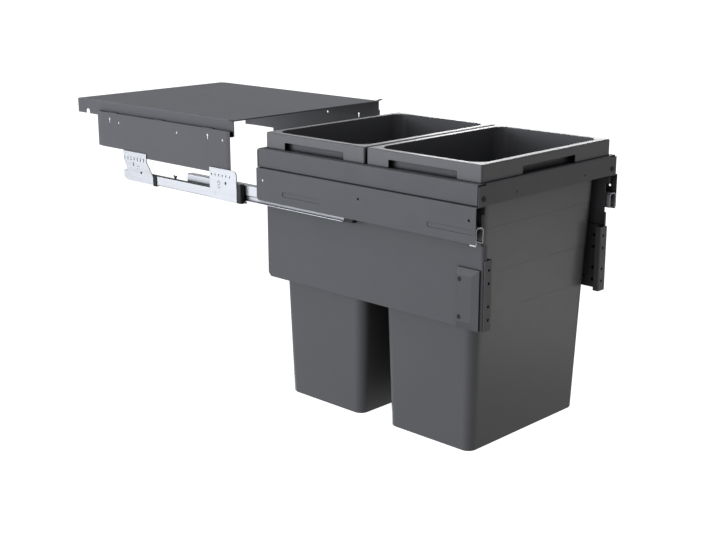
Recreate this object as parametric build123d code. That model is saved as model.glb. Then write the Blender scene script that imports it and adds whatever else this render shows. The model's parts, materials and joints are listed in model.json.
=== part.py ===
from build123d import *
import math
import os

# Pull-out bin frame for a base cabinet, in millimetres.
# It is drawn pulled out, about its middle plane: X is the width, the front faces -Y and Z is up.
# In the drawing Y is zero at the front of the carriage and Z is zero at the bins' bottoms.
# Every left piece is drawn at -X and mirrored for the right.
# On writing, all is moved so that the origin is at the left front cabinet fixing hole.

# Cabinet and travel. Full extension: the carriage travels its own depth
cabinet_inner_width = 412.0
middle_travel_share = 0.5
lower_cage_travel_share = 0.25
upper_cage_travel_share = 0.75

# Carriage: bands, covers and side panels
carriage_depth = 510.0
carriage_side_gap = 14.5
band_top_height = 465.3
band_height = 34.5
band_sheet = 1.2
band_ledge = 22.8
band_end_gap = 3.0
front_ledge = 16.5
front_ledge_end_gap = 18.0
front_end_drop = 2.6
ledge_gap = 1.5
band_tab_width = 20.0
band_bend = 1.0
panel_inset = 17.5
panel_height = 239.3
panel_sheet = 1.2
panel_roll_radius = 5.0
panel_return = 8.0
panel_roll_top_drop = 100.0
panel_front_setback = 1.5
panel_corner_cut = 4.0
panel_rear_gap = 1.5
cover_outset = 6.0
cover_height = 59.0
cover_sheet = 1.2
cover_end_gap = 3.5
cover_front_gap = 0.5
cover_weld_lip = 14.0
cover_hole_radius = 2.2
cover_hole_drop = 21.8
cover_hole_depth_shares = (0.027, 0.497, 0.969)
cover_rib_length = 97.0
cover_rib_width = 9.0
cover_rib_depth = 0.8
cover_rib_drop = 40.0
cover_rib_depth_shares = (0.1, 0.77)
cross_bar_width = 25.5
cross_bar_leg = 20.0

# Screws and rivets
screw_hole_radius = 2.1
screw_shank_radius = 2.0
screw_head_radius = 4.0
screw_head_height = 1.6
screw_shank_length = 7.0
screw_socket_radius = 1.3
screw_socket_depth = 0.8
screw_end_reach = 2.0
front_screw_share = 0.935
front_hole_share = 0.5
front_screw_drop = 23.5

# Door brackets and their caps
bracket_sheet = 1.5
bracket_height = 116.0
bracket_top_drop = 124.0
bracket_flange = 19.0
bracket_step = 11.0
bracket_leg_end = 55.0
bracket_bend = 1.0
door_hole_radius = 2.6
door_hole_inset = 11.0
door_hole_pair = 22.0
door_hole_first = 16.0
door_hole_pair_pitch = 60.0
panel_hole_radius = 3.4
panel_hole_depth = 25.0
cap_front = 7.0
cap_length = 46.0
cap_height = 101.0
cap_thickness = 6.4
cap_wall = 1.4
cap_edge = 1.2
cap_shadow_gap = 2.2
cap_shadow_depth = 3.0
cap_front_slope = 14.0
cap_end_slope = 12.0
cap_rear_slope = 3.0
cap_top_drop = 139.5
cap_screw_from_rear = 8.5
cap_screw_end_margin = 19.0

# Slides: section
slide_centre_inset = 4.5
middle_head_width = 14.8
middle_waist_width = 11.2
middle_foot_width = 18.8
middle_sheet = 1.2
middle_top_drop = 72.0
middle_head_height = 19.4
middle_head_round = 2.2
middle_height = 29.2
middle_bend = 0.25
slide_running_gap = 0.5
slide_lip_gap = 0.35
slide_bend = 0.6
carriage_rail_sheet = 1.4
carriage_rail_lip = 1.9
carriage_rail_round = 4.8
carriage_tab_length = 12.0
carriage_tab_drop = 3.2
cabinet_rail_sheet = 1.4
cabinet_rail_guard_height = 18.5
cabinet_rail_inner_gap = 1.2
cabinet_rail_lip_gap = 1.3
cabinet_rail_lip_rise = 0.55
roller_diameter = 2.8
roller_gap = 0.3
roller_window_gap = 0.3
roller_pitch = 26.0
cage_thickness = 1.4
cage_side_gap = 0.3
cage_wing_height = 4.6
cage_wing_gap = 0.3
lower_roller_length = 17.0
lower_roller_count = 4
upper_roller_length = 7.4
upper_roller_count = 5
upper_cage_width = 10.8
cage_end_margin = 14.0

# Slides: lengths along Y. A setback is measured from the front of the closed carriage
cabinet_rail_setback = 43.0
cabinet_rail_rear_gap = 127.0
middle_setback = 35.0
middle_rear_gap = 55.0
carriage_rail_front = 0.6
carriage_rail_end_gap = 4.0
middle_stop_reach = 22.0
middle_stop_grip = 18.0
middle_stop_gap = 0.3

# Cabinet brackets
fix_sheet = 2.0
fix_top_drop = 47.0
fix_width_front = 76.0
fix_corner_radius = 9.0
fix_small_radius = 2.0
fix_rear_overhang = 6.0
fix_rear_length = 95.0
fix_rear_step_share = 0.79
fix_rear_neck_drop = 17.0
fix_rear_foot_share = 0.87
fix_rear_tab_height = 16.0
fix_rear_tab_drop = 38.0
fix_slot_width = 2.2
fix_slot_length = 8.0
fix_slot_pitch = 10.3
fix_slot_count = 7
fix_slot_drop = 13.8
fix_slot_margin = 4.6
fix_front_slot_count = 6
fix_front_slot_width = 2.0
fix_front_slot_length = 4.6
fix_front_slot_drop = 13.0
fix_front_slot_margin = 6.0
fix_long_slot_drop = 24.5
fix_long_slot_from_rear = 33.0
fix_pilot_radius = 1.0
fix_pilot_from_rear = 46.0
fix_pilot_drop = 27.5
fix_pilot_pitch = 5.0
fix_hole_radius = 2.6
fix_rear_hole_from_rear = 57.0
fix_rear_hole_drop = 39.2
fix_front_hole_from_front = 30.5
fix_front_hole_drop = 26.0
fix_bead_from_front = 49.0
fix_bead_drop = 30.5
fix_bead_radius = 3.2
fix_bead_width = 1.6
fix_bead_height = 0.5
fix_rivet_rise = 12.0
fix_rivet_margin = 14.0

# Black plastic parts of the slides
strip_thickness = 1.5
strip_rise = 2.6
strip_height = 12.0
catch_length = 9.5
catch_height = 6.5
catch_arm = 1.8
catch_from_rear_share = 0.46
buffer_length = 9.6
buffer_thickness = 1.8
guide_length = 13.0
guide_height = 36.0
guide_gap = 0.7
guide_round = 5.0
guide_hook_length = 8.0
guide_hook_height = 4.0
guide_hook_rise = 1.5

# Fixed shelf over the bins and its side plates
shelf_side_gap = 11.5
shelf_setback = 59.0
shelf_rear_reach = 46.0
shelf_rise = 44.0
shelf_sheet = 1.2
shelf_flange = 30.0
shelf_lip = 2.4
shelf_bend = 1.4
shelf_slope_length = 16.0
shelf_slope_drop = 1.0
shelf_notch_width = 13.0
shelf_notch_height = 10.0
shelf_notch_from_rear = 34.0
shelf_ear_length = 11.0
shelf_ear_width = 7.0
shelf_ear_rise = 2.2
clip_setback = 2.0
clip_length = 14.0
clip_height = 10.0
clip_wall = 1.6
clip_round = 3.0
plate_sheet = 1.2
plate_front_gap = 4.0
plate_rear_gap = 76.0
plate_top_rise = 24.0
plate_front_bottom_drop = 56.5
plate_rear_bottom_drop = 46.6
plate_rear_step = 90.0
plate_lead_in = 18.0
plate_lead_in_depth = 4.0
plate_front_lead = 7.0
plate_front_lead_depth = 2.4
plate_bend = 1.0
plate_tab_length = 26.0
plate_tab_drop = 9.0
plate_tab_shares = (0.12, 0.48, 0.84)
plate_hole_radius = 2.3
plate_hole_rise = 6.0
plate_hole_shares = (0.0448, 0.3688, 0.8168)
plate_key_shares = (0.1478, 0.8898)
plate_key_height = 11.0
plate_key_radius = 2.6
plate_key_slot_radius = 1.5
plate_key_top_rise = 14.0

# Bins
bin_side_gap = 13.5
bin_gap = 5.0
bin_front_gap = 6.0
bin_rear_gap = 10.0
bin_rim_rise = 28.8
bin_rim_radius = 3.5
bin_rim_round = 2.5
bin_rim_margin_long = 9.8
bin_rim_margin_short = 11.0
bin_skirt_wall = 2.4
bin_wall = 2.4
bin_floor = 2.8
bin_seat_gap = 0.2
bin_end_taper = 28.5
bin_side_taper = 25.0
bin_bottom_shift = 2.8
bin_top_corner = 27.0
bin_bottom_corner = 18.8
bin_floor_edge = 2.5
bin_step_depth = 0.6
bin_step_drop_shares = (0.22, 0.374, 0.513)
grip_length = 146.0
grip_height = 14.0
grip_corner = 2.0

# Planes that the sizes above give
carriage_travel = carriage_depth
half_cabinet = cabinet_inner_width / 2
half_carriage = half_cabinet - carriage_side_gap
band_bottom = band_top_height - band_height
panel_face = half_carriage - panel_inset
panel_inner = panel_face - panel_sheet
panel_top = band_top_height - band_sheet
panel_bottom = panel_top - panel_height
cover_face = half_carriage + cover_outset
cover_inner = cover_face - cover_sheet
cover_bottom = band_bottom - cover_height
slide_centre = half_carriage - slide_centre_inset
middle_top = band_top_height - middle_top_drop
middle_bottom = middle_top - middle_height
head_half = middle_head_width / 2
waist_half = middle_waist_width / 2
foot_half = middle_foot_width / 2
carriage_rail_inner = head_half + slide_running_gap
carriage_rail_outer = carriage_rail_inner + carriage_rail_sheet
carriage_rail_top = middle_top + roller_diameter + 2 * roller_gap + carriage_rail_sheet
carriage_rail_bottom = middle_top - middle_head_height - slide_lip_gap - carriage_rail_sheet
fix_face = half_cabinet
fix_inner = fix_face - fix_sheet
cabinet_rail_face = fix_inner
cabinet_floor_top = middle_bottom - roller_diameter - 2 * roller_gap
cabinet_rail_bottom = cabinet_floor_top - cabinet_rail_sheet
cabinet_rail_front = carriage_travel + cabinet_rail_setback
cabinet_rail_end = carriage_travel + carriage_depth - cabinet_rail_rear_gap
cabinet_rail_length = cabinet_rail_end - cabinet_rail_front
middle_length = carriage_depth - middle_setback - middle_rear_gap
middle_front = carriage_travel * (1 - middle_travel_share) + middle_setback
middle_end = middle_front + middle_length
carriage_rail_end = carriage_depth - carriage_rail_end_gap
lower_cage_length = 2 * cage_end_margin + roller_pitch * (lower_roller_count - 1)
lower_cage_front = (cabinet_rail_front + middle_end - lower_cage_length) / 2
upper_cage_length = 2 * cage_end_margin + roller_pitch * (upper_roller_count - 1)
upper_cage_front = (middle_front + carriage_rail_end - upper_cage_length) / 2
fix_rear_front = cabinet_rail_end + fix_rear_overhang - fix_rear_length
cabinet_lip_top = middle_bottom + middle_sheet + cabinet_rail_lip_rise + cabinet_rail_sheet
fix_top = band_top_height - fix_top_drop
fix_front_hole_y = cabinet_rail_front + fix_front_hole_from_front
fix_front_hole_z = fix_top - fix_front_hole_drop
plate_face = fix_inner
shelf_front = carriage_travel + shelf_setback
shelf_length = carriage_depth + shelf_rear_reach - shelf_setback
plate_front = shelf_front + plate_front_gap
plate_length = shelf_length - plate_front_gap - plate_rear_gap
shelf_top = band_top_height + shelf_rise
shelf_half = half_cabinet - shelf_side_gap
shelf_bottom = shelf_top - shelf_flange
cap_face = panel_face + cap_thickness
bin_width = 2 * (half_carriage - bin_side_gap)
bin_length = (carriage_depth - bin_front_gap - bin_gap - bin_rear_gap) / 2
bin_bottom_width = bin_width - 2 * bin_side_taper
bin_bottom_length = bin_length - 2 * bin_end_taper


def bent_strip(points, thickness, inner_radius):
    """Closed face of a folded strip through the points, round at each bend.

    The inner radius is one value, or a list with one for each bend.
    """
    half = thickness / 2
    radii = inner_radius if isinstance(inner_radius, list) else [inner_radius] * (len(points) - 2)
    stations = [Vector(*p) for p in points]
    left_edges = []
    right_edges = []
    cursor = stations[0]
    last = len(stations) - 1
    for i in range(1, last + 1):
        ahead = (stations[i] - stations[i - 1]).normalized()
        side = Vector(-ahead.Y, ahead.X)
        if i == last:
            end = stations[i]
        else:
            onward = (stations[i + 1] - stations[i]).normalized()
            turn = math.atan2(ahead.X * onward.Y - ahead.Y * onward.X, ahead.dot(onward))
            mid_radius = radii[i - 1] + half
            setback = mid_radius * math.tan(abs(turn) / 2)
            end = stations[i] - ahead * setback
        left_edges.append(Line(cursor + side * half, end + side * half))
        right_edges.append(Line(cursor - side * half, end - side * half))
        if i < last:
            sign = math.copysign(1, turn)
            centre = end + side * (sign * mid_radius)
            for edges, offset in ((left_edges, half), (right_edges, -half)):
                start_arm = end + side * offset - centre
                mid_arm = start_arm.rotate(Axis.Z, math.degrees(turn) / 2)
                end_arm = start_arm.rotate(Axis.Z, math.degrees(turn))
                edges.append(ThreePointArc(centre + start_arm, centre + mid_arm, centre + end_arm))
            cursor = stations[i] + onward * setback
    start_cap = Line(left_edges[0] @ 0, right_edges[0] @ 0)
    end_cap = Line(left_edges[-1] @ 1, right_edges[-1] @ 1)
    return make_face(left_edges + [end_cap] + right_edges + [start_cap])


def outline(points):
    """Closed face with straight sides through the points."""
    return make_face(Polyline(*points, close=True))


def along_x(face, start, end):
    """Face drawn as (Y, Z), run along X."""
    return Pos(start, 0, 0) * extrude(Plane.YZ * face, amount=end - start)


def along_y(face, start, end):
    """Face drawn as (X, Z), run along Y."""
    return Pos(0, start, 0) * extrude(Plane.XZ * face, amount=start - end)


def along_z(face, start, end):
    """Face drawn as (X, Y), run along Z."""
    return Pos(0, 0, start) * extrude(face, amount=end - start)


def block(low, high):
    """Box between two corners."""
    size = [b - a for a, b in zip(low, high)]
    return Pos(*low) * Box(*size, align=(Align.MIN, Align.MIN, Align.MIN))


def pin_x(start, end, y, z, radius):
    """Round pin along X."""
    return along_x(Pos(y, z) * Circle(radius), start, end)


def pin_y(start, end, x, z, radius):
    """Round pin along Y."""
    return along_y(Pos(x, z) * Circle(radius), start, end)


def upright_slot(start, end, y, z, width, length):
    """Slot cutter along X, its long way upright."""
    return along_x(Pos(y, z) * Rot(0, 0, 90) * SlotOverall(length, width), start, end)


def mirrored(shape):
    """The right-hand copy of a left-hand piece."""
    return mirror(shape, about=Plane.YZ)


def row(start, pitch, count):
    """Evenly spaced positions."""
    return [start + pitch * i for i in range(count)]


# Carriage

def make_side_band():
    """Left band: bottom return, web and the ledge that carries the bin rims."""
    web = half_carriage - band_sheet / 2
    low = band_bottom + band_sheet / 2
    high = band_top_height - band_sheet / 2
    points = [(-panel_face, low), (-web, low), (-web, high), (-(half_carriage - band_ledge), high)]
    start = band_end_gap
    end = carriage_depth - band_end_gap
    band = along_y(bent_strip(points, band_sheet, band_bend), start, end)
    tab_top = band_top_height - band_sheet - band_bend
    tab_bottom = band_bottom + band_sheet + band_bend
    for y0 in (start, end - band_sheet):
        low_corner = (-half_carriage + band_sheet / 2, y0, tab_bottom)
        tab = block(low_corner, (-half_carriage + band_sheet + band_tab_width, y0 + band_sheet, tab_top))
        hole = pin_y(y0 - band_sheet, y0 + 2 * band_sheet, -front_screw_x, front_screw_z, screw_hole_radius)
        band += tab
        band -= hole
    return band


front_screw_x = half_carriage * front_screw_share
front_screw_z = band_top_height - front_screw_drop
front_hole_x = half_carriage * front_hole_share


def make_front_band():
    """Front band: web, four fixing holes and a ledge between those of the side bands."""
    web = band_sheet / 2
    high = band_top_height - band_sheet / 2
    points = [(web, band_bottom), (web, high), (front_ledge, high)]
    band = along_x(bent_strip(points, band_sheet, band_bend), -half_carriage, half_carriage)
    inside = half_carriage - band_ledge - ledge_gap
    behind = band_sheet + band_bend
    for side in (-1, 1):
        x0, x1 = sorted((side * inside, side * (half_carriage + band_sheet)))
        low_corner = (x0, behind, band_bottom)
        band -= block(low_corner, (x1, front_ledge + band_sheet, band_top_height + band_sheet))
        x0, x1 = sorted((side * (half_carriage - front_ledge_end_gap), side * (half_carriage + band_sheet)))
        low_corner = (x0, -band_sheet, band_top_height - front_end_drop)
        band -= block(low_corner, (x1, front_ledge + band_sheet, band_top_height + band_sheet))
        for x in (front_screw_x, front_hole_x):
            band -= pin_y(-band_sheet, 2 * band_sheet, side * x, front_screw_z, screw_hole_radius)
    return band


def make_cross_bar():
    """Channel between the two bins that carries their inner rims."""
    centre = bin_front_gap + bin_length + bin_gap / 2
    half = cross_bar_width / 2
    leg = half - band_sheet / 2
    high = band_top_height - band_sheet / 2
    low = band_top_height - cross_bar_leg
    points = [(-leg, low), (-leg, high), (leg, high), (leg, low)]
    bar = along_x(Pos(centre, 0) * bent_strip(points, band_sheet, band_bend), -panel_inner, panel_inner)
    ledge_edge = half_carriage - band_ledge - slide_lip_gap
    under_ledge = band_top_height - band_sheet
    for side in (-1, 1):
        x0, x1 = sorted((side * ledge_edge, side * half_carriage))
        bar -= block((x0, centre - half, under_ledge), (x1, centre + half, band_top_height))
    return bar


def make_side_panel():
    """Left side panel with a rolled front edge and a rear return."""
    face = panel_face - panel_sheet / 2
    front = panel_front_setback + panel_sheet / 2
    rear = carriage_depth - panel_rear_gap - panel_sheet / 2
    reach = panel_roll_radius + panel_return
    points = [(-(face - panel_return), front), (-face, front), (-face, rear), (-(face - reach), rear)]
    panel = along_z(bent_strip(points, panel_sheet, panel_roll_radius), panel_bottom, panel_top)
    roll_top = band_top_height - panel_roll_top_drop
    roll_depth = panel_front_setback + panel_sheet + panel_roll_radius
    panel -= block((-panel_face, 0, roll_top), (0, roll_depth, panel_top))
    rear_start = carriage_depth - panel_rear_gap - panel_sheet - panel_roll_radius
    panel -= block((-panel_face, rear_start, roll_top), (0, carriage_depth, panel_top))
    corner = [
        (carriage_depth, panel_bottom),
        (rear_start - panel_corner_cut, panel_bottom),
        (carriage_depth, panel_bottom + panel_corner_cut + carriage_depth - rear_start),
    ]
    panel -= along_x(outline(corner), -panel_face, 0)
    for z in panel_hole_heights():
        panel -= pin_x(-panel_face, -panel_inner, panel_hole_depth, z, panel_hole_radius)
    for z in cap_screw_heights():
        panel -= pin_x(-panel_face, -panel_inner, cap_screw_y, z, screw_hole_radius)
    return panel


def bracket_top():
    return band_top_height - bracket_top_drop


def door_hole_heights():
    first = bracket_top() - door_hole_first
    second = first - door_hole_pair_pitch
    return [first, first - door_hole_pair, second, second - door_hole_pair]


def panel_hole_heights():
    return [z - panel_hole_radius for z in door_hole_heights()]


def cap_screw_heights():
    top = band_top_height - cap_top_drop
    return [top - cap_screw_end_margin, top - cap_height + cap_screw_end_margin]


cap_screw_y = cap_front + cap_length - cap_screw_from_rear


def make_door_bracket():
    """Left door bracket: flange for the door, step round the rolled edge, leg on the panel."""
    half = bracket_sheet / 2
    leg = panel_inner - half
    outer = leg
    inner = leg - bracket_flange + half
    step = bracket_step + half
    points = [(-outer, half), (-inner, half), (-inner, step), (-leg, step), (-leg, bracket_leg_end)]
    bottom = bracket_top() - bracket_height
    bracket = along_z(bent_strip(points, bracket_sheet, bracket_bend), bottom, bracket_top())
    hole_x = panel_face - bracket_sheet - door_hole_inset
    for z in door_hole_heights():
        bracket -= pin_y(-bracket_sheet, 2 * bracket_sheet, -hole_x, z, door_hole_radius)
    for z in panel_hole_heights():
        bracket -= pin_x(-panel_face, -leg + bracket_sheet, panel_hole_depth, z, panel_hole_radius)
    for z in cap_screw_heights():
        bracket -= pin_x(-panel_face, -leg + bracket_sheet, cap_screw_y, z, screw_hole_radius)
    return bracket


def cap_section(depth, front_inset, end_inset, rear_inset):
    """Rectangle across the cap at a depth out from the panel, drawn in by the insets."""
    front = cap_front + front_inset
    rear = cap_front + cap_length - rear_inset
    top = band_top_height - cap_top_drop - end_inset
    bottom = band_top_height - cap_top_drop - cap_height + end_inset
    face = Pos((front + rear) / 2, (bottom + top) / 2) * Rectangle(rear - front, top - bottom)
    return Pos(-panel_face - depth, 0, 0) * (Plane.YZ * face)


def make_bracket_cap():
    """Hipped cap over the outside of the left door bracket, on a foot set in for a shadow gap."""
    foot_low = cap_section(0, cap_shadow_depth, cap_shadow_depth, 0)
    foot_high = cap_section(cap_shadow_gap, cap_shadow_depth, cap_shadow_depth, 0)
    edge_low = cap_section(cap_shadow_gap, 0, 0, 0)
    edge_high = cap_section(cap_shadow_gap + cap_edge, 0, 0, 0)
    crown = cap_section(cap_thickness, cap_front_slope, cap_end_slope, cap_rear_slope)
    body = loft([foot_low, foot_high], ruled=True)
    body += loft([edge_low, edge_high], ruled=True)
    body += loft([edge_high, crown], ruled=True)
    inset = cap_shadow_depth + cap_wall
    cavity_low = cap_section(0, inset, inset, cap_wall)
    cavity_high = cap_section(cap_thickness - cap_wall, cap_front_slope, cap_end_slope, cap_rear_slope)
    body -= loft([cavity_low, cavity_high], ruled=True)
    for z in cap_screw_heights():
        body += pin_x(-cap_face + cap_wall, -panel_face, cap_screw_y, z, screw_head_radius + cap_wall)
    for z in cap_screw_heights():
        seat = -cap_face + screw_head_height
        recess = screw_head_radius + screw_hole_radius - screw_shank_radius
        body -= pin_x(-cap_face, seat, cap_screw_y, z, recess)
        body -= pin_x(-cap_face, -panel_face, cap_screw_y, z, screw_hole_radius)
    return body


def make_slide_cover():
    """Left cover over the slide: outer wall, roof and the lip welded to the side panel."""
    wall = cover_face - cover_sheet / 2
    roof = band_bottom - cover_sheet / 2
    lip = panel_face + cover_sheet / 2
    points = [(-wall, cover_bottom), (-wall, roof), (-lip, roof), (-lip, roof - cover_weld_lip)]
    end = carriage_depth - cover_end_gap
    cover = along_y(bent_strip(points, cover_sheet, band_bend), cover_front_gap, end)
    span = end - cover_front_gap
    corner = [
        (end + cover_sheet, cover_bottom - cover_sheet),
        (end - panel_corner_cut - cover_sheet, cover_bottom - cover_sheet),
        (end + cover_sheet, cover_bottom + panel_corner_cut + cover_sheet),
    ]
    cover -= along_x(outline(corner), -cover_face, -cover_inner)
    for share in cover_hole_depth_shares:
        y = cover_front_gap + span * share
        cover -= pin_x(-cover_face, -cover_inner, y, band_bottom - cover_hole_drop, cover_hole_radius)
    for share in cover_rib_depth_shares:
        y = cover_front_gap + span * share
        rib = Pos(y, band_bottom - cover_rib_drop) * SlotOverall(cover_rib_length, cover_rib_width)
        cover -= along_x(rib, -cover_face, -cover_face + cover_rib_depth)
    return cover


# Screws and rivets

def screw(length):
    """Pan-head screw: head above Z zero, shank below it, round socket in the head."""
    head = extrude(Circle(screw_head_radius), amount=screw_head_height)
    shank = extrude(Circle(screw_shank_radius), amount=-length)
    socket = extrude(Circle(screw_socket_radius), amount=-screw_socket_depth)
    return head + shank - Pos(0, 0, screw_head_height) * socket


def make_band_screws():
    """Screws through the front and rear bands into the tabs of the side bands."""
    front = Plane((0, 0, 0), z_dir=(0, -1, 0))
    rear = Plane((0, carriage_depth, 0), z_dir=(0, 1, 0))
    screws = []
    for side in (-1, 1):
        for plane in (front, rear):
            place = Plane((side * front_screw_x, plane.origin.Y, front_screw_z), z_dir=plane.z_dir)
            screws.append(place.location * screw(screw_shank_length))
    return screws


def make_cap_screws():
    """Screws that hold each cap and each door bracket to its panel."""
    depth = cap_thickness - screw_head_height + panel_sheet + bracket_sheet + screw_end_reach
    screws = []
    for z in cap_screw_heights():
        place = Plane((-cap_face + screw_head_height, cap_screw_y, z), z_dir=(-1, 0, 0))
        screws.append(place.location * screw(depth))
    return screws + [mirrored(s) for s in screws]


# Slides

def make_middle_rail():
    """Left middle rail: closed head above, open waist, two feet below."""
    half = middle_sheet / 2
    head = head_half - half
    waist = waist_half - half
    shoulder = middle_top - middle_head_height + half
    top = middle_top - half
    foot = middle_bottom + half
    right = [(head, top), (head, shoulder), (waist, shoulder), (waist, foot), (foot_half, foot)]
    left = [(-x, z) for x, z in reversed(right)]
    round_head = middle_head_round - middle_sheet
    bends = [middle_bend] * (len(left) - 2) + [round_head, round_head] + [middle_bend] * (len(right) - 2)
    face = Pos(-slide_centre, 0) * bent_strip(left + right, middle_sheet, bends)
    return along_y(face, middle_front, middle_end)


def make_middle_stop():
    """Black plug in the front end of the left middle rail."""
    grip_half = waist_half - middle_sheet - middle_stop_gap
    top = middle_top - middle_sheet - middle_stop_gap
    low = (-slide_centre - grip_half, middle_front, middle_bottom)
    high = (-slide_centre + grip_half, middle_front + middle_stop_grip, top)
    plug = block(low, high)
    nose_low = (-slide_centre - waist_half, middle_front - middle_stop_reach, middle_bottom)
    nose = block(nose_low, (-slide_centre + waist_half, middle_front, top))
    front_edges = nose.faces().sort_by(Axis.Y)[0].edges().filter_by(Axis.Z)
    return plug + fillet(front_edges, waist_half / 2)


def make_carriage_rail():
    """Left carriage rail: inverted channel with round shoulders, turned-in lips and a front tab."""
    half = carriage_rail_sheet / 2
    wall = carriage_rail_outer - half
    top = carriage_rail_top - half
    low = carriage_rail_bottom + half
    lip = carriage_rail_inner - carriage_rail_lip
    points = [(-lip, low), (-wall, low), (-wall, top), (wall, top), (wall, low), (lip, low)]
    bends = [slide_bend, carriage_rail_round, carriage_rail_round, slide_bend]
    face = Pos(-slide_centre, 0) * bent_strip(points, carriage_rail_sheet, bends)
    rail = along_y(face, carriage_rail_front, carriage_rail_end)
    outer = -slide_centre - carriage_rail_outer
    tab_top = carriage_rail_bottom + carriage_rail_sheet + slide_bend
    tab_low = (outer, carriage_rail_front, carriage_rail_bottom - carriage_tab_drop)
    tab_end = carriage_rail_front + carriage_tab_length
    return rail + block(tab_low, (outer + carriage_rail_sheet, tab_end, tab_top))


def make_cabinet_rail():
    """Left cabinet rail: floor, inner wall, lips over the feet and the tall outer guard."""
    half = cabinet_rail_sheet / 2
    floor = cabinet_rail_bottom + half
    guard = cabinet_rail_face - half
    inner = panel_face + cabinet_rail_inner_gap + half
    lip_level = cabinet_lip_top - half
    guard_top = cabinet_rail_bottom + cabinet_rail_guard_height
    inner_lip = slide_centre - waist_half - cabinet_rail_lip_gap - slide_running_gap
    points = [(-guard, guard_top), (-guard, floor), (-inner, floor), (-inner, lip_level)]
    points.append((-inner_lip, lip_level))
    rail = along_y(bent_strip(points, cabinet_rail_sheet, slide_bend), cabinet_rail_front, cabinet_rail_end)
    outer_lip = slide_centre + waist_half + cabinet_rail_lip_gap + slide_running_gap
    guard_inside = -cabinet_rail_face + cabinet_rail_sheet
    low = (guard_inside, cabinet_rail_front, cabinet_lip_top - cabinet_rail_sheet)
    rail += block(low, (-outer_lip, cabinet_rail_end, cabinet_lip_top))
    for y in rivet_places():
        rail -= pin_x(-cabinet_rail_face, guard_inside, y, rivet_height, screw_hole_radius)
    return rail


rivet_height = cabinet_rail_bottom + fix_rivet_rise
front_fix_rear = cabinet_rail_front + fix_width_front
rear_fix_rear = fix_rear_front + fix_rear_length


def rivet_places():
    front = [cabinet_rail_front + fix_rivet_margin, front_fix_rear - fix_rivet_margin]
    rear = [fix_rear_front + fix_rivet_margin, cabinet_rail_end - fix_rivet_margin]
    return front + rear


def make_rail_rivets():
    """Flush rivets that join the cabinet brackets to the cabinet rails."""
    rivets = []
    for y in rivet_places():
        inner = -cabinet_rail_face + cabinet_rail_sheet
        rivets.append(pin_x(-fix_face, inner, y, rivet_height, screw_shank_radius))
    return rivets + [mirrored(r) for r in rivets]


def make_rollers(front, count, length, centre_height):
    """Row of rollers across the rail."""
    rollers = []
    half = length / 2
    for y in row(front + cage_end_margin, roller_pitch, count):
        roller = pin_x(-slide_centre - half, -slide_centre + half, y, centre_height, roller_diameter / 2)
        rollers.append(roller)
    return rollers


def make_cage(front, count, length, centre_height, half_width):
    """Flat roller cage with one window for each roller."""
    total = 2 * cage_end_margin + roller_pitch * (count - 1)
    half = cage_thickness / 2
    low = (-slide_centre - half_width, front, centre_height - half)
    cage = block(low, (-slide_centre + half_width, front + total, centre_height + half))
    window = roller_diameter / 2 + roller_window_gap
    reach = length / 2 + roller_window_gap
    for y in row(front + cage_end_margin, roller_pitch, count):
        low = (-slide_centre - reach, y - window, centre_height - cage_thickness)
        cage -= block(low, (-slide_centre + reach, y + window, centre_height + cage_thickness))
    return cage


lower_roller_height = cabinet_floor_top + roller_gap + roller_diameter / 2
upper_roller_height = middle_top + roller_gap + roller_diameter / 2


def make_lower_cage():
    """Cage between the cabinet rail and the middle rail, with an outer guide wing."""
    half_width = foot_half + cage_wing_gap
    cage = make_cage(lower_cage_front, lower_roller_count, lower_roller_length,
                     lower_roller_height, half_width)
    outer = cabinet_rail_face - cabinet_rail_sheet - cage_side_gap
    bottom = cabinet_floor_top + roller_gap
    rear = lower_cage_front + lower_cage_length
    wing = block((-outer, lower_cage_front, bottom),
                 (-slide_centre - half_width, rear, bottom + cage_wing_height))
    return cage + wing


def make_upper_cage():
    """Cage between the middle rail and the carriage rail."""
    half_width = upper_cage_width / 2
    return make_cage(upper_cage_front, upper_roller_count, upper_roller_length,
                     upper_roller_height, half_width)


# Cabinet side

def make_front_bracket():
    """Left front bracket that screws to the cabinet wall."""
    rear = front_fix_rear
    points = [
        (cabinet_rail_front, cabinet_rail_bottom),
        (rear, cabinet_rail_bottom),
        (rear, fix_top),
        (cabinet_rail_front, fix_top),
    ]
    plate = along_x(outline(points), -fix_face, -fix_inner)
    top_front = plate.edges().filter_by(Axis.X).group_by(Axis.Z)[-1].sort_by(Axis.Y)
    plate = fillet(top_front[0], fix_corner_radius)
    for y in row(rear - fix_front_slot_margin, -fix_slot_pitch, fix_front_slot_count):
        z = fix_top - fix_front_slot_drop
        plate -= upright_slot(-fix_face, -fix_inner, y, z, fix_front_slot_width, fix_front_slot_length)
    plate -= pin_x(-fix_face, -fix_inner, fix_front_hole_y, fix_front_hole_z, fix_hole_radius)
    plate -= make_bead()
    for y in rivet_places()[:2]:
        plate -= pin_x(-fix_face, -fix_inner, y, rivet_height, screw_hole_radius)
    return plate


def make_bead():
    """Pressed double-curve bead on the front bracket, as a cutter."""
    y = cabinet_rail_front + fix_bead_from_front
    z = fix_top - fix_bead_drop
    ring = Circle(fix_bead_radius + fix_bead_width / 2) - Circle(fix_bead_radius - fix_bead_width / 2)
    reach = 2 * fix_bead_radius
    upper = ring - Pos(fix_bead_radius, -fix_bead_radius) * Rectangle(reach, reach)
    lower = ring - Pos(-fix_bead_radius, fix_bead_radius) * Rectangle(reach, reach)
    curve = Pos(y, z + fix_bead_radius) * upper + Pos(y, z - fix_bead_radius) * lower
    return along_x(curve, -fix_face, -fix_face + fix_bead_height)


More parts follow.
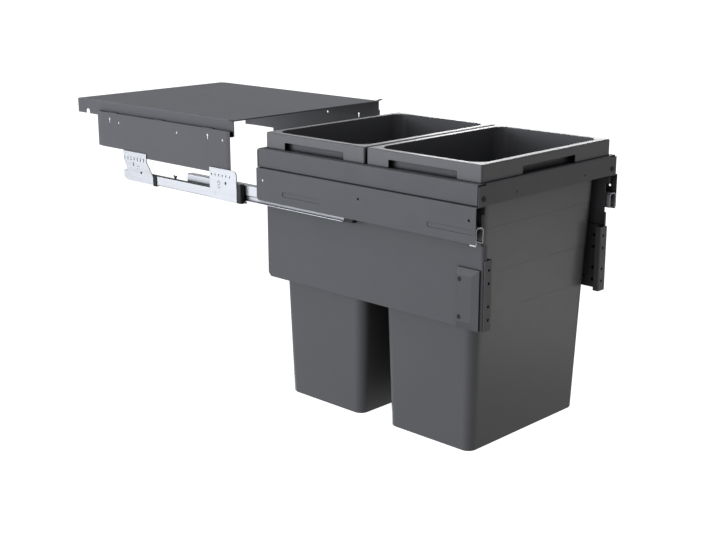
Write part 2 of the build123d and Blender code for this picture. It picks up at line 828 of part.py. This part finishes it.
def make_rear_bracket():
    """Left rear bracket: row of upright slots above, slanted front edge, rear tab."""
    front = fix_rear_front
    rear = rear_fix_rear
    step = front + fix_rear_length * (1 - fix_rear_step_share)
    foot = front + fix_rear_length * fix_rear_foot_share
    neck = fix_top - fix_rear_neck_drop
    tab_top = fix_top - fix_rear_tab_drop
    points = [
        (front, cabinet_rail_bottom),
        (foot, cabinet_rail_bottom),
        (rear, tab_top - fix_rear_tab_height),
        (rear, tab_top),
        (foot, tab_top),
        (rear, neck),
        (rear, fix_top),
        (step, fix_top),
        (step, neck),
        (front, cabinet_rail_bottom + fix_rear_tab_height),
    ]
    plate = along_x(outline(points), -fix_face, -fix_inner)
    bends = plate.edges().filter_by(Axis.X).sort_by(Axis.Y)
    plate = fillet(bends[-2:], fix_small_radius)
    for y in row(rear - fix_slot_margin, -fix_slot_pitch, fix_slot_count):
        z = fix_top - fix_slot_drop
        plate -= upright_slot(-fix_face, -fix_inner, y, z, fix_slot_width, fix_slot_length)
    long_y = rear - fix_long_slot_from_rear
    long_z = fix_top - fix_long_slot_drop
    plate -= upright_slot(-fix_face, -fix_inner, long_y, long_z, fix_slot_width, fix_slot_length)
    pilot_y = rear - fix_pilot_from_rear
    pilot_z = fix_top - fix_pilot_drop
    pilot_low = pilot_z - fix_pilot_pitch
    for y, z in ((pilot_y, pilot_z), (pilot_y, pilot_low), (pilot_y - fix_pilot_pitch, pilot_z)):
        plate -= pin_x(-fix_face, -fix_inner, y, z, fix_pilot_radius)
    hole_y = rear - fix_rear_hole_from_rear
    plate -= pin_x(-fix_face, -fix_inner, hole_y, fix_top - fix_rear_hole_drop, fix_hole_radius)
    for y in rivet_places()[2:]:
        plate -= pin_x(-fix_face, -fix_inner, y, rivet_height, screw_hole_radius)
    return plate


def make_glide_strip():
    """Black strip along the top of the left cabinet rail, with its upright catch."""
    guard_top = cabinet_rail_bottom + cabinet_rail_guard_height
    outer = cabinet_rail_face - cabinet_rail_sheet
    inner = outer - strip_thickness
    top = guard_top + strip_rise
    strip = block((-outer, cabinet_rail_front, top - strip_height), (-inner, cabinet_rail_end, top))
    cap_outer = cabinet_rail_face
    strip += block((-cap_outer, front_fix_rear, guard_top), (-inner, fix_rear_front, top))
    y = cabinet_rail_end - cabinet_rail_length * catch_from_rear_share
    half = catch_length / 2
    vee = [
        (y - catch_arm / 2, top), (y + catch_arm / 2, top),
        (y + half, top + catch_height), (y + half - catch_arm, top + catch_height),
        (y, top + catch_arm), (y - half + catch_arm, top + catch_height), (y - half, top + catch_height),
    ]
    return strip + along_x(outline(vee), -cap_outer, -inner)


def make_rear_buffer():
    """Black clip round the left cabinet rail in front of the rear bracket."""
    rear = fix_rear_front
    front = rear - buffer_length
    top = cabinet_rail_bottom + cabinet_rail_guard_height
    bottom = cabinet_rail_bottom - buffer_thickness
    side = block((-cabinet_rail_face - buffer_thickness, front, bottom), (-cabinet_rail_face, rear, top))
    under = block((-cabinet_rail_face, front, bottom), (-slide_centre, rear, cabinet_rail_bottom))
    return side + under


def make_front_guide():
    """Black rounded guide at the front end of the left cabinet rail, with its hook."""
    rear = cabinet_rail_front
    front = rear - guide_length
    inner = cover_face + guide_gap
    low = (-fix_face, front, cabinet_rail_bottom)
    body = block(low, (-inner, rear, cabinet_rail_bottom + guide_height))
    edge = body.edges().filter_by(Axis.Z).sort_by(Axis.Y)[0:2].sort_by(Axis.X)[0]
    body = fillet(edge, guide_round)
    hook_bottom = cabinet_rail_bottom + guide_hook_rise
    hook = [
        (front, hook_bottom),
        (front, hook_bottom + guide_hook_height),
        (front - guide_hook_length, hook_bottom + guide_hook_rise),
        (front - guide_hook_length, hook_bottom),
    ]
    return body + along_x(outline(hook), -fix_face + guide_round, -inner)


def shelf_section(y, drop):
    """Section of the shelf across the cabinet: top and two flanges."""
    half = shelf_sheet / 2
    wall = shelf_half - half
    top = shelf_top - half - drop
    points = [(-wall, shelf_bottom), (-wall, top), (wall, top), (wall, shelf_bottom)]
    return Pos(0, y, 0) * (Plane.XZ * bent_strip(points, shelf_sheet, shelf_bend))


def make_shelf():
    """Fixed shelf: top with a sloped rear strip, front lip, notched side flanges and ears."""
    front = shelf_front
    rear = front + shelf_length
    half = shelf_sheet / 2
    slope_start = rear - shelf_slope_length
    level = extrude(shelf_section(slope_start, 0), amount=slope_start - front, dir=(0, -1, 0))
    slope = loft([shelf_section(slope_start, 0), shelf_section(rear, shelf_slope_drop)], ruled=True)
    shelf = level + slope
    lip_half = shelf_half - shelf_sheet - shelf_bend
    low = (-lip_half, front, shelf_top - shelf_lip)
    shelf += block(low, (lip_half, front + shelf_sheet, shelf_top - half))
    notch = SlotOverall(2 * shelf_notch_height, shelf_notch_width, rotation=90)
    notch_y = rear - shelf_notch_from_rear
    shelf -= along_x(Pos(notch_y, shelf_bottom) * notch, -shelf_half, shelf_half)
    ear = [
        (-lip_half, shelf_top - half),
        (-shelf_half, shelf_top - half),
        (-shelf_half - shelf_ear_length, shelf_top - half + shelf_ear_rise),
    ]
    ear_solid = along_y(bent_strip(ear, shelf_sheet, shelf_bend), front, front + shelf_ear_width)
    return shelf + ear_solid + mirrored(ear_solid)


def make_side_plate():
    """Left side plate under the shelf, with bent ends, keyholes and tabs to the shelf flange."""
    face = plate_face - plate_sheet / 2
    front = plate_front
    rear = front + plate_length
    points = [
        (-face + plate_front_lead_depth, front),
        (-face, front + plate_front_lead),
        (-face, rear - plate_lead_in),
        (-face + plate_lead_in_depth, rear),
    ]
    top = band_top_height + plate_top_rise
    bottom = band_top_height - plate_front_bottom_drop
    plate = along_z(bent_strip(points, plate_sheet, plate_bend), bottom, top)
    low = (-plate_face - plate_sheet, rear - plate_rear_step, bottom)
    plate -= block(low, (-shelf_half, rear + plate_sheet, band_top_height - plate_rear_bottom_drop))
    outer = -plate_face
    inner = -plate_face + plate_sheet
    hole_z = band_top_height + plate_hole_rise
    for share in plate_hole_shares:
        plate -= pin_x(outer, inner, front + plate_length * share, hole_z, plate_hole_radius)
    key_bottom = band_top_height + plate_key_top_rise - plate_key_height + plate_key_slot_radius
    key_top = band_top_height + plate_key_top_rise - plate_key_radius
    for share in plate_key_shares:
        y = front + plate_length * share
        plate -= pin_x(outer, inner, y, key_top, plate_key_radius)
        plate -= pin_x(outer, inner, y, key_bottom, plate_key_slot_radius)
        slot_low = (outer, y - plate_key_slot_radius, key_bottom)
        plate -= block(slot_low, (inner, y + plate_key_slot_radius, key_top))
    weld = shelf_half + plate_sheet / 2
    tab = [(-face, top - plate_tab_drop), (-face, top - plate_sheet / 2), (-weld, top - plate_sheet / 2)]
    tab.append((-weld, top - plate_tab_drop))
    for share in plate_tab_shares:
        y = front + plate_length * share
        plate += along_y(bent_strip(tab, plate_sheet, plate_bend), y, y + plate_tab_length)
    return plate


def make_shelf_clip():
    """Black clip on the lower front corner of the left shelf flange: outer wall and lip below."""
    outer = shelf_half + clip_wall
    inner = shelf_half - shelf_sheet
    front = shelf_front + clip_setback
    bottom = shelf_bottom - clip_wall
    clip = block((-outer, front, bottom), (-inner, front + clip_length, bottom + clip_height))
    edges = clip.edges().filter_by(Axis.X).group_by(Axis.Z)[0].sort_by(Axis.Y)
    clip = fillet(edges[0], clip_round)
    low = (-shelf_half, front, shelf_bottom)
    return clip - block(low, (-shelf_half + shelf_sheet, front + clip_length, shelf_top))


# Bins

def bin_section(height_share, offset, step):
    """Rounded rectangle of the bin body at a share of its height, moved out by offset."""
    top_length = bin_length - 2 * bin_rim_margin_short
    top_width = bin_width - 2 * bin_rim_margin_long
    length = bin_bottom_length + (top_length - bin_bottom_length) * height_share
    width = bin_bottom_width + (top_width - bin_bottom_width) * height_share
    corner = bin_bottom_corner + (bin_top_corner - bin_bottom_corner) * height_share
    shift = bin_bottom_shift * (1 - height_share)
    grow = 2 * (offset + step)
    sketch = RectangleRounded(width + grow, length + grow, corner + offset + step)
    return Pos(0, shift, bin_height * height_share) * sketch


bin_height = band_top_height + bin_rim_rise


def make_bin(front):
    """Tapered bin with stacking steps, a skirted rim and grips cut in the skirt."""
    levels = [0] + [1 - share for share in reversed(bin_step_drop_shares)] + [1]
    body = None
    for i in range(len(levels) - 1):
        grown = bin_step_depth * (i - len(bin_step_drop_shares))
        low = bin_section(levels[i], 0, grown)
        high = bin_section(levels[i + 1], 0, grown)
        tier = loft([low, high], ruled=True)
        body = tier if body is None else body + tier
    bottom_edges = body.faces().sort_by(Axis.Z)[0].edges()
    body = fillet(bottom_edges, bin_floor_edge)
    rim_top = bin_height
    skirt_bottom = band_top_height + bin_seat_gap
    rim_face = RectangleRounded(bin_width, bin_length, bin_rim_radius)
    rim = along_z(rim_face, skirt_bottom, rim_top)
    under_rim = RectangleRounded(bin_width - 2 * bin_skirt_wall, bin_length - 2 * bin_skirt_wall,
                                 bin_rim_radius - bin_skirt_wall)
    rim -= along_z(under_rim, skirt_bottom, rim_top - bin_skirt_wall)
    top_edges = rim.faces().sort_by(Axis.Z)[-1].edges()
    rim = fillet(top_edges, bin_rim_round)
    inset = -bin_wall - bin_step_depth * len(bin_step_drop_shares)
    cavity_low = bin_section(bin_floor / bin_height, inset, 0)
    cavity_high = bin_section(1, -bin_wall, 0)
    cavity = loft([cavity_low, cavity_high], ruled=True)
    grip_bottom = skirt_bottom - grip_corner
    long_half = bin_length / 2 + bin_skirt_wall
    wide_half = bin_width / 2 + bin_skirt_wall
    grip_z = grip_bottom + (grip_height + grip_corner) / 2
    grip = RectangleRounded(grip_length, grip_height + grip_corner, grip_corner)
    grips = along_y(Pos(0, grip_z) * grip, -long_half, long_half)
    grips += along_x(Pos(0, grip_z) * grip, -wide_half, wide_half)
    shell = (rim - grips) + body - cavity
    return Pos(0, front + bin_length / 2, 0) * shell


to_origin = Pos(half_cabinet, -fix_front_hole_y, -fix_front_hole_z)


def write(name, shape):
    """Move one piece, or a group of like pieces, to the origin and write it as a STEP file."""
    if isinstance(shape, list):
        placed = Compound(children=[to_origin * solid for solid in shape])
    else:
        placed = to_origin * shape
    placed.label = name
    export_step(placed, f"parts/{name}.step")


def write_pair(name, shape):
    """Write the left piece and its mirrored right piece."""
    if isinstance(shape, list):
        right = [mirrored(s) for s in shape]
    else:
        right = mirrored(shape)
    write(f"left_{name}", shape)
    write(f"right_{name}", right)


os.makedirs("parts", exist_ok=True)

front_band = make_front_band()
write("front_band", front_band)
write("rear_band", Pos(0, carriage_depth, 0) * mirror(front_band, about=Plane.XZ))
write("cross_bar", make_cross_bar())
write("band_screws", make_band_screws())
write("cap_screws", make_cap_screws())
write("rail_rivets", make_rail_rivets())
write("shelf", make_shelf())
write("front_bin", make_bin(bin_front_gap))
write("rear_bin", make_bin(bin_front_gap + bin_length + bin_gap))

write_pair("band", make_side_band())
write_pair("side_panel", make_side_panel())
write_pair("door_bracket", make_door_bracket())
write_pair("bracket_cap", make_bracket_cap())
write_pair("slide_cover", make_slide_cover())
write_pair("carriage_rail", make_carriage_rail())
write_pair("middle_rail", make_middle_rail())
write_pair("middle_stop", make_middle_stop())
write_pair("cabinet_rail", make_cabinet_rail())
write_pair("lower_cage", make_lower_cage())
write_pair("lower_rollers", make_rollers(lower_cage_front, lower_roller_count, lower_roller_length,
                                         lower_roller_height))
write_pair("upper_cage", make_upper_cage())
write_pair("upper_rollers", make_rollers(upper_cage_front, upper_roller_count, upper_roller_length,
                                         upper_roller_height))
write_pair("front_bracket", make_front_bracket())
write_pair("rear_bracket", make_rear_bracket())
write_pair("glide_strip", make_glide_strip())
write_pair("rear_buffer", make_rear_buffer())
write_pair("front_guide", make_front_guide())
write_pair("side_plate", make_side_plate())
write_pair("shelf_clip", make_shelf_clip())
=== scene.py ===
import json
import math

import bpy
from mathutils import Matrix, Vector


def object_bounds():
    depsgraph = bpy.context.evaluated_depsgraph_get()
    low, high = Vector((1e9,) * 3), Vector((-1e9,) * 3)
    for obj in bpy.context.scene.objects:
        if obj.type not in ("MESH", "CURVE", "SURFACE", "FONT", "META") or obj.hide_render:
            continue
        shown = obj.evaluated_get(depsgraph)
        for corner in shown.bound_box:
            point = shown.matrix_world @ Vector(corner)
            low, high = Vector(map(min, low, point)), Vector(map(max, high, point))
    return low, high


# Pull-out bin frame: materials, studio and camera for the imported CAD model, in metres.

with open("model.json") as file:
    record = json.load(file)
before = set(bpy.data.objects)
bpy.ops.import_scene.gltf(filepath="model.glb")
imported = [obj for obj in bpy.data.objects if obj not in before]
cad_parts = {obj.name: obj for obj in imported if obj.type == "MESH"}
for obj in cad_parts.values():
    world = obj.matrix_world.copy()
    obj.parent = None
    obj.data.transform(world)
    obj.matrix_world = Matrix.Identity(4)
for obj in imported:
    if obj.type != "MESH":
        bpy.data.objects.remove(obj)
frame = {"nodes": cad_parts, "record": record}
cad_low, cad_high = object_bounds()
centre = (cad_low + cad_high) / 2

# Camera, solved from the photograph
CAMERA_PLACE = (-1.467072, -1.751839, 0.44333)
CAMERA_AZIMUTH = math.radians(-46.095)
CAMERA_ELEVATION = math.radians(15.014)
CAMERA_ROLL = math.radians(-0.09)
CAMERA_LENS_MM = 62.809
CAMERA_CLIP = 50
SENSOR_MM = 36.0

# Base colours (linear)
PAINT = (0.101, 0.101, 0.105)
SHELF_PAINT = (0.139, 0.139, 0.144)
CAP = (0.090, 0.090, 0.093)
BIN = (0.100, 0.100, 0.103)
BLACK = (0.006, 0.006, 0.0065)
CAGE = (0.74, 0.73, 0.69)
ZINC = (0.555, 0.565, 0.58)
ROLLER = (0.68, 0.68, 0.70)
SCREW = (0.014, 0.014, 0.015)

# Stretch of a finish: the same all ways, or drawn out along the rails by the rolling
EVEN = (1, 1, 1)
ALONG_RAILS = (1, 0.06, 1)

# Studio: a radiance above 1 reads as white
SEEN_WHITE = 1.2
FILL_COLOUR = (0.93, 0.95, 1, 1)
FILL_RADIANCE = 0.19
FLOOR_RADIANCE = 0.38
FLOOR_DROP = 0.35
FLOOR_HALF_WIDTH = 9.0

# Name, place, target, size, radiance and colour of each soft light
LIGHTS = [
    ("left_key", (-3.3, 1.9, 0.3), centre, (3.0, 2.0), 5.8, (0.90, 0.927, 1)),
    ("left_side", (-3.8, -0.1, 0.0), centre, (2.4, 1.8), 2.85, (0.89, 0.92, 1)),
    ("left_rear", (-2.2, 3.0, 1.2), centre, (2.4, 2.4), 0.2, (0.93, 0.95, 1)),
    ("top", (0.0, 0.2, 3.0), centre, (3.0, 3.0), 2.95, (0.935, 0.955, 1)),
    ("backdrop_right", (3.3, 1.3, 0.35), centre, (1.8, 0.9), 7.0, (1, 1, 1)),
    ("backdrop_rear", (2.5, 2.6, 0.4), centre, (2.0, 1.0), 2.2, (1, 1, 1)),
    ("low_front", (0.9, -1.5, -0.62), (0.2, -0.5, -0.35), (1.2, 0.6), 1.32, (1, 0.99, 0.96)),
    ("front_fill", (2.6, -2.4, -0.1), centre, (2.4, 1.6), 0.22, (1, 0.98, 0.96)),
    ("bay_fill", (0.2, 0.25, -0.62), (0.41, 0.2, 0.05), (0.3, 0.4), 4.0, (0.93, 0.95, 1)),
]

# Noise between these values spreads over the whole range of a colour or a roughness
NOISE_LOW = 0.3
NOISE_HIGH = 0.7

# Sockets of the Mix node in its colour mode, and of the Mix Shader node
MIX_FACTOR, MIX_COLOUR_A, MIX_COLOUR_B = 0, 6, 7
MIX_COLOUR_OUT = 2
SHADER_AT_ZERO, SHADER_AT_ONE = 1, 2


def new_material(name):
    """Material with its shader and output only."""
    material = bpy.data.materials.new(name)
    material.use_nodes = True
    tree = material.node_tree
    tree.nodes.clear()
    shader = tree.nodes.new("ShaderNodeBsdfPrincipled")
    output = tree.nodes.new("ShaderNodeOutputMaterial")
    tree.links.new(shader.outputs["BSDF"], output.inputs["Surface"])
    return material, tree, shader


def object_noise(tree, scale, detail, stretch):
    """Noise fixed to the object, stretched where the finish has a direction."""
    place = tree.nodes.new("ShaderNodeTexCoord")
    mapping = tree.nodes.new("ShaderNodeMapping")
    mapping.inputs["Scale"].default_value = stretch
    noise = tree.nodes.new("ShaderNodeTexNoise")
    noise.inputs["Scale"].default_value = scale
    noise.inputs["Detail"].default_value = detail
    tree.links.new(place.outputs["Object"], mapping.inputs["Vector"])
    tree.links.new(mapping.outputs["Vector"], noise.inputs["Vector"])
    return noise.outputs["Fac"]


def map_range(tree, source, from_low, from_high, to_low, to_high):
    """A value carried from one range over to another."""
    spread = tree.nodes.new("ShaderNodeMapRange")
    spread.inputs["From Min"].default_value = from_low
    spread.inputs["From Max"].default_value = from_high
    spread.inputs["To Min"].default_value = to_low
    spread.inputs["To Max"].default_value = to_high
    tree.links.new(source, spread.inputs["Value"])
    return spread.outputs["Result"]


def vary_colour(tree, shader, colour, scale, amount, stretch=EVEN):
    """Slight lighter and darker clouds over the base colour."""
    ramp = tree.nodes.new("ShaderNodeValToRGB")
    darkest, lightest = ramp.color_ramp.elements
    darkest.position = NOISE_LOW
    lightest.position = NOISE_HIGH
    darkest.color = (*[c * (1 - amount) for c in colour], 1)
    lightest.color = (*[c * (1 + amount) for c in colour], 1)
    tree.links.new(object_noise(tree, scale, 3, stretch), ramp.inputs["Fac"])
    tree.links.new(ramp.outputs["Color"], shader.inputs["Base Color"])


def vary_roughness(tree, shader, rough, spread, scale, stretch=EVEN):
    """Roughness that wanders a little either way."""
    noise = object_noise(tree, scale, 4, stretch)
    wander = map_range(tree, noise, NOISE_LOW, NOISE_HIGH, rough - spread, rough + spread)
    tree.links.new(wander, shader.inputs["Roughness"])


def painted_crevice_shade(tree, shader, reach, depth, closed=0.2, clear=0.85, samples=8):
    """Painted shade: base colour darkened in seams, corners and hollows, full depth where the open
    share of the surroundings within reach is below closed, and none above clear."""
    source = shader.inputs["Base Color"].links[0].from_socket
    surroundings = tree.nodes.new("ShaderNodeAmbientOcclusion")
    surroundings.samples = samples
    surroundings.inputs["Distance"].default_value = reach
    shade = map_range(tree, surroundings.outputs["AO"], closed, clear, 1 - depth, 1.0)
    mix = tree.nodes.new("ShaderNodeMix")
    mix.data_type = "RGBA"
    mix.blend_type = "MULTIPLY"
    mix.inputs[MIX_FACTOR].default_value = 1.0
    tree.links.new(source, mix.inputs[MIX_COLOUR_A])
    tree.links.new(shade, mix.inputs[MIX_COLOUR_B])
    tree.links.new(mix.outputs[MIX_COLOUR_OUT], shader.inputs["Base Color"])


def add_relief(tree, shader, scale, height, strength, edge, stretch=EVEN):
    """Fine bump over the surface, on edges softly rounded by the edge radius."""
    bump = tree.nodes.new("ShaderNodeBump")
    bump.inputs["Strength"].default_value = strength
    bump.inputs["Distance"].default_value = height
    tree.links.new(object_noise(tree, scale, 2, stretch), bump.inputs["Height"])
    bevel = tree.nodes.new("ShaderNodeBevel")
    bevel.inputs["Radius"].default_value = edge
    tree.links.new(bevel.outputs["Normal"], bump.inputs["Normal"])
    tree.links.new(bump.outputs["Normal"], shader.inputs["Normal"])


def powder_coat(name, colour, specular, rough):
    """Satin powder coat with a fine orange peel, and painted shade darkening seams, gaps and
    corners.
    """
    material, tree, shader = new_material(name)
    shader.inputs["Specular IOR Level"].default_value = specular
    vary_colour(tree, shader, colour, scale=9, amount=0.02)
    # Painted shade: darker colour in wide gaps and in tight seams
    painted_crevice_shade(tree, shader, reach=0.06, depth=0.6, closed=0.0, clear=0.9)
    painted_crevice_shade(tree, shader, reach=0.005, depth=0.7)
    vary_roughness(tree, shader, rough, spread=0.04, scale=30)
    add_relief(tree, shader, scale=950, height=0.00012, strength=0.35, edge=0.0006)
    return material


def moulded_plastic(name, colour, specular, rough, grain, grain_height, edge=0.0005):
    """Moulded plastic with a fine spark-eroded grain, and painted shade that darkens it inside a
    hollow piece, in gaps and along small steps.
    """
    material, tree, shader = new_material(name)
    shader.inputs["Specular IOR Level"].default_value = specular
    vary_colour(tree, shader, colour, scale=6, amount=0.02)
    # Painted shade: darker colour inside hollows, in gaps between parts and along small steps
    painted_crevice_shade(tree, shader, reach=0.35, depth=0.8, closed=0.0, clear=0.6, samples=16)
    painted_crevice_shade(tree, shader, reach=0.04, depth=0.5)
    painted_crevice_shade(tree, shader, reach=0.003, depth=0.9, closed=0.5, clear=1.0)
    vary_roughness(tree, shader, rough, spread=0.015, scale=40)
    add_relief(tree, shader, scale=grain, height=grain_height, strength=0.3, edge=edge)
    return material


def plated_steel(name, colour, metallic, rough, stretch):
    """Bright plated steel with faint rolling lines, and painted shade darkening slots, channels
    and corners.
    """
    material, tree, shader = new_material(name)
    shader.inputs["Metallic"].default_value = metallic
    vary_colour(tree, shader, colour, scale=60, amount=0.05, stretch=stretch)
    # Painted shade: darker colour inside channels, slots and corners
    painted_crevice_shade(tree, shader, reach=0.022, depth=0.97, closed=0.3)
    painted_crevice_shade(tree, shader, reach=0.003, depth=0.9, closed=0.4, clear=0.95)
    vary_roughness(tree, shader, rough, spread=0.07, scale=120, stretch=stretch)
    add_relief(tree, shader, 700, height=0.00004, strength=0.3, edge=0.0004, stretch=stretch)
    return material


MATERIALS = [
    powder_coat("carriage_paint", PAINT, specular=0.2, rough=0.5),
    powder_coat("shelf_paint", SHELF_PAINT, specular=0.02, rough=0.85),
    moulded_plastic("cap_plastic", CAP, 0.25, 0.5, grain=1800, grain_height=0.00005),
    moulded_plastic("bin_plastic", BIN, 0.32, 0.34, grain=1500, grain_height=0.00004, edge=0.0006),
    moulded_plastic("black_plastic", BLACK, 0.3, 0.3, grain=1800, grain_height=0.00005),
    moulded_plastic("cage_plastic", CAGE, 0.4, 0.45, grain=1500, grain_height=0.00004),
    plated_steel("zinc_steel", ZINC, metallic=0.55, rough=0.42, stretch=ALONG_RAILS),
    plated_steel("roller_steel", ROLLER, metallic=1.0, rough=0.2, stretch=EVEN),
    powder_coat("screw_steel", SCREW, specular=0.3, rough=0.45),
]


def dress_cad_nodes():
    """Give each CAD node the material of its slot."""
    # A name that is in use already gets a number behind the dot
    finishes = {material.name.split(".")[0]: material for material in MATERIALS}
    for part in frame["record"]["subparts"]:
        node = frame["nodes"][part["node"]]
        node.data.materials.clear()
        node.data.materials.append(finishes[part["material_slot"]])


def show_to_camera(tree, seen, otherwise, output):
    """One shader straight before the camera, and the other one for light and reflections."""
    path = tree.nodes.new("ShaderNodeLightPath")
    mix = tree.nodes.new("ShaderNodeMixShader")
    tree.links.new(path.outputs["Is Camera Ray"], mix.inputs["Fac"])
    tree.links.new(otherwise, mix.inputs[SHADER_AT_ZERO])
    tree.links.new(seen, mix.inputs[SHADER_AT_ONE])
    tree.links.new(mix.outputs["Shader"], output.inputs["Surface"])


def background(tree, colour, radiance):
    """Even light from all round."""
    node = tree.nodes.new("ShaderNodeBackground")
    node.inputs["Color"].default_value = colour
    node.inputs["Strength"].default_value = radiance
    return node.outputs["Background"]


def glow(tree, radiance):
    """White light from a surface."""
    node = tree.nodes.new("ShaderNodeEmission")
    node.inputs["Strength"].default_value = radiance
    return node.outputs["Emission"]


def world_light():
    """White backdrop for the camera, weaker even fill on surfaces."""
    world = bpy.data.worlds.new("studio")
    bpy.context.scene.world = world
    world.use_nodes = True
    tree = world.node_tree
    tree.nodes.clear()
    output = tree.nodes.new("ShaderNodeOutputWorld")
    seen = background(tree, (1, 1, 1, 1), SEEN_WHITE)
    fill = background(tree, FILL_COLOUR, FILL_RADIANCE)
    show_to_camera(tree, seen, fill, output)


def make_floor(z):
    """Pale studio floor, white to the camera."""
    half = FLOOR_HALF_WIDTH
    mesh = bpy.data.meshes.new("studio_floor")
    corners = [(-half, -half, z), (half, -half, z), (half, half, z), (-half, half, z)]
    mesh.from_pydata(corners, [], [(0, 1, 2, 3)])
    floor = bpy.data.objects.new("studio_floor", mesh)
    bpy.context.scene.collection.objects.link(floor)
    material = bpy.data.materials.new("studio_floor")
    material.use_nodes = True
    tree = material.node_tree
    tree.nodes.clear()
    output = tree.nodes.new("ShaderNodeOutputMaterial")
    show_to_camera(tree, glow(tree, SEEN_WHITE), glow(tree, FLOOR_RADIANCE), output)
    mesh.materials.append(material)


def soft_box(name, place, target, size, radiance, colour):
    """Rectangular soft light that faces a point. Radiance 1 reads as white when seen."""
    light = bpy.data.lights.new(name, "AREA")
    light.shape = "RECTANGLE"
    light.size, light.size_y = size
    light.energy = radiance * math.pi * size[0] * size[1]
    light.color = colour
    lamp = bpy.data.objects.new(name, light)
    lamp.location = place
    lamp.rotation_euler = (Vector(target) - Vector(place)).to_track_quat("-Z", "Y").to_euler()
    lamp.visible_camera = False
    bpy.context.scene.collection.objects.link(lamp)


def make_camera():
    """Camera at the photograph's place and angle."""
    azimuth, elevation = CAMERA_AZIMUTH, CAMERA_ELEVATION
    back = Vector((
        math.sin(azimuth) * math.cos(elevation),
        -math.cos(azimuth) * math.cos(elevation),
        math.sin(elevation),
    ))
    right = (-back).cross(Vector((0, 0, 1))).normalized()
    up = right.cross(-back)
    roll_cos, roll_sin = math.cos(CAMERA_ROLL), math.sin(CAMERA_ROLL)
    turned_right = right * roll_cos + up * roll_sin
    turned_up = up * roll_cos - right * roll_sin
    turn = Matrix((turned_right, turned_up, back)).transposed().to_4x4()
    data = bpy.data.cameras.new("camera")
    data.lens = CAMERA_LENS_MM
    data.sensor_width = SENSOR_MM
    data.sensor_fit = "HORIZONTAL"
    data.clip_end = CAMERA_CLIP
    camera = bpy.data.objects.new("camera", data)
    camera.matrix_world = Matrix.Translation(CAMERA_PLACE) @ turn
    bpy.context.scene.collection.objects.link(camera)
    bpy.context.scene.camera = camera


dress_cad_nodes()
make_camera()
world_light()
make_floor(cad_low.z - FLOOR_DROP)
for light in LIGHTS:
    soft_box(*light)

view = bpy.context.scene.view_settings
view.view_transform = "Standard"
view.look = "None"
